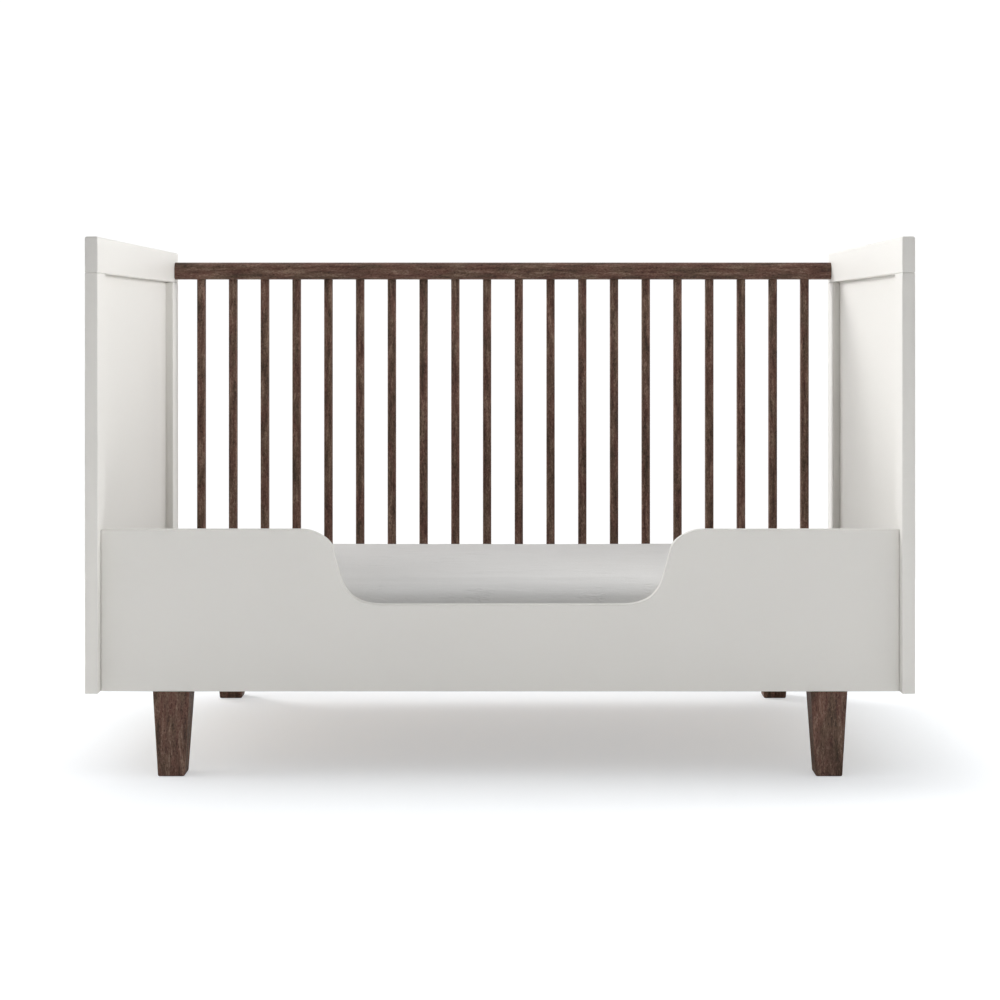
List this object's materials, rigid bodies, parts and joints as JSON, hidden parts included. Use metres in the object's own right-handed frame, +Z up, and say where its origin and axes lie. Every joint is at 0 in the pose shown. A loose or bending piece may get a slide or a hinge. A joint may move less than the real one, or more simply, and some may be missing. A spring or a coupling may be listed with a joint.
{
  "type": "toddler bed crib",
  "caption": "Crib in toddler-bed form: white panelled ends, walnut spindle back, low front guard rail with a dip, tapered legs, and a lift-out mattress on a hung support board.",
  "frame": {"origin": "on the floor under the middle of the bed, at the bottom centre of its box", "axes": "+X along the length to the right as seen from the front, -Y out of the open front, +Z up"},
  "size_m": [1.379, 0.788, 0.902],
  "materials": {
    "white_paint": "satin",
    "walnut": "satin",
    "birch_board": "matte",
    "zinc_steel": "satin",
    "sheet_cotton": "matte"
  },
  "bodies": {
    "root": {"left_cap_rail": "white_paint", "left_front_stile": "white_paint", "left_rear_stile": "white_paint", "left_end_bottom_rail": "white_paint", "left_inset_panel": "white_paint", "right_cap_rail": "white_paint", "right_front_stile": "white_paint", "right_rear_stile": "white_paint", "right_end_bottom_rail": "white_paint", "right_inset_panel": "white_paint", "guard_rail": "white_paint", "rear_top_rail": "walnut", "rear_bottom_rail": "walnut", "spindle_01": "walnut", "spindle_02": "walnut", "spindle_03": "walnut", "spindle_04": "walnut", "spindle_05": "walnut", "spindle_06": "walnut", "spindle_07": "walnut", "spindle_08": "walnut", "spindle_09": "walnut", "spindle_10": "walnut", "spindle_11": "walnut", "spindle_12": "walnut", "spindle_13": "walnut", "spindle_14": "walnut", "spindle_15": "walnut", "spindle_16": "walnut", "spindle_17": "walnut", "spindle_18": "walnut", "spindle_19": "walnut", "spindle_20": "walnut", "front_base_rail": "walnut", "rear_base_rail": "walnut", "front_left_leg": "walnut", "front_right_leg": "walnut", "rear_left_leg": "walnut", "rear_right_leg": "walnut", "left_guard_rail_lower_bolt": "zinc_steel", "left_guard_rail_upper_bolt": "zinc_steel", "left_rear_top_bolt": "zinc_steel", "left_rear_bottom_bolt": "zinc_steel", "right_guard_rail_lower_bolt": "zinc_steel", "right_guard_rail_upper_bolt": "zinc_steel", "right_rear_top_bolt": "zinc_steel", "right_rear_bottom_bolt": "zinc_steel", "front_left_shoulder_bolt": "zinc_steel", "front_right_shoulder_bolt": "zinc_steel", "rear_left_shoulder_bolt": "zinc_steel", "rear_right_shoulder_bolt": "zinc_steel"},
    "mattress_support": {"support_board": "birch_board", "front_batten": "birch_board", "middle_batten": "birch_board", "rear_batten": "birch_board", "front_left_bracket": "zinc_steel", "front_right_bracket": "zinc_steel", "rear_left_bracket": "zinc_steel", "rear_right_bracket": "zinc_steel"},
    "mattress": {"mattress": "sheet_cotton"}
  },
  "joints": [
    {"name": "support_lift", "type": "slide", "parent": "root", "child": "mattress_support", "axis": [0, 0, 1], "range_m": [0, 0.76]},
    {"name": "mattress_lift", "type": "slide", "parent": "mattress_support", "child": "mattress", "axis": [0, 0, 1], "range_m": [0, 0.72]}
  ]
}
